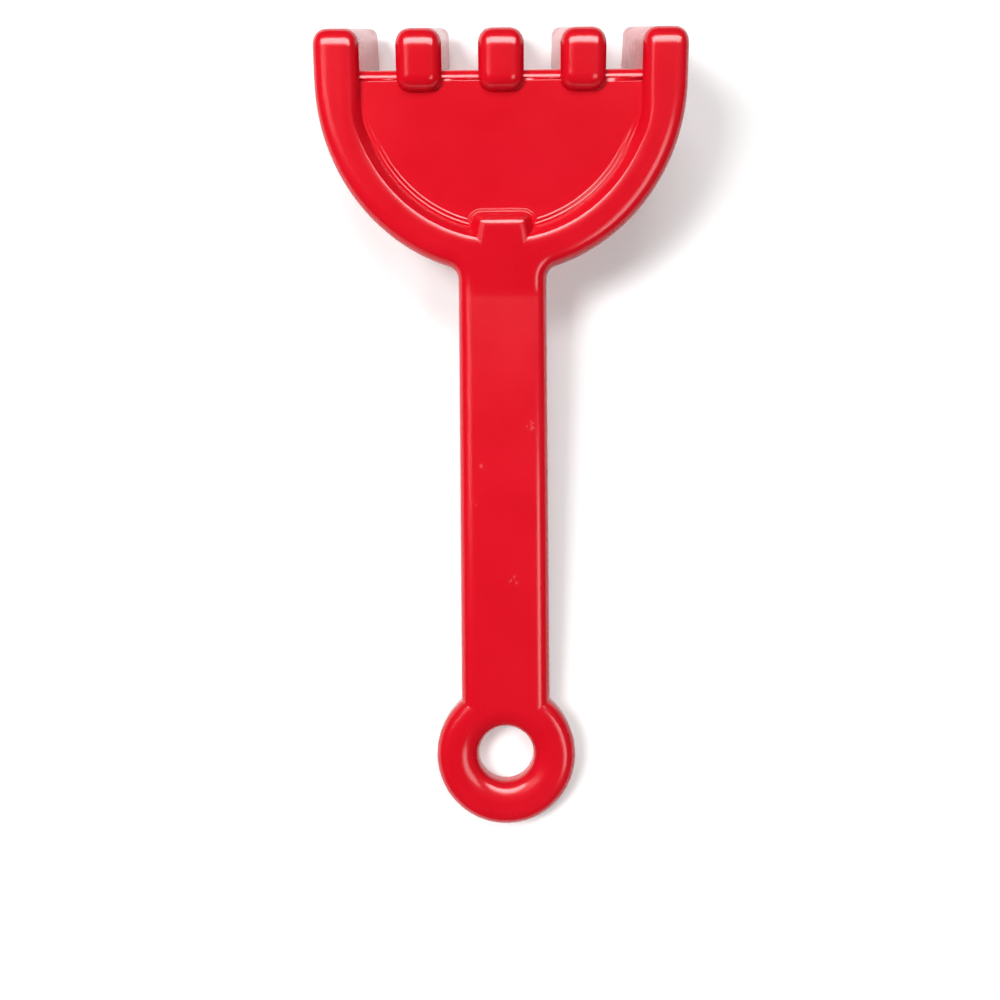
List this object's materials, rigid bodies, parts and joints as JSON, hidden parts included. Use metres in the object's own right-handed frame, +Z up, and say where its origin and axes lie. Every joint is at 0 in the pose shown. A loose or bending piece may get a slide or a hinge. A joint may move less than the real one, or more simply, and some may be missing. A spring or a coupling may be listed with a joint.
{
  "type": "sand rake",
  "caption": "One-piece moulded toy sand rake with a half-round head, leaning hollow teeth, a flat grip and a hang ring.",
  "frame": {"origin": "on the hang hole's axis, in the middle of its straight stretch", "axes": "+Y along the rake towards its teeth, +Z up with the rake lying on its tips and the back of its ring, +X to the right"},
  "size_m": [0.1096, 0.2595, 0.0493],
  "materials": {
    "red_plastic": "glossy moulded polypropylene, dyed right through"
  },
  "bodies": {
    "root": {"hang_ring": "red_plastic", "hang_hole_collar": "red_plastic", "grip": "red_plastic", "grip_ribs": "red_plastic", "neck_bend": "red_plastic", "neck": "red_plastic", "rim_left": "red_plastic", "rim_right": "red_plastic", "head_plate": "red_plastic", "plate_bead": "red_plastic", "tooth_left_outer": "red_plastic", "tooth_left_inner": "red_plastic", "tooth_centre": "red_plastic", "tooth_right_inner": "red_plastic", "tooth_right_outer": "red_plastic"}
  },
  "joints": []
}
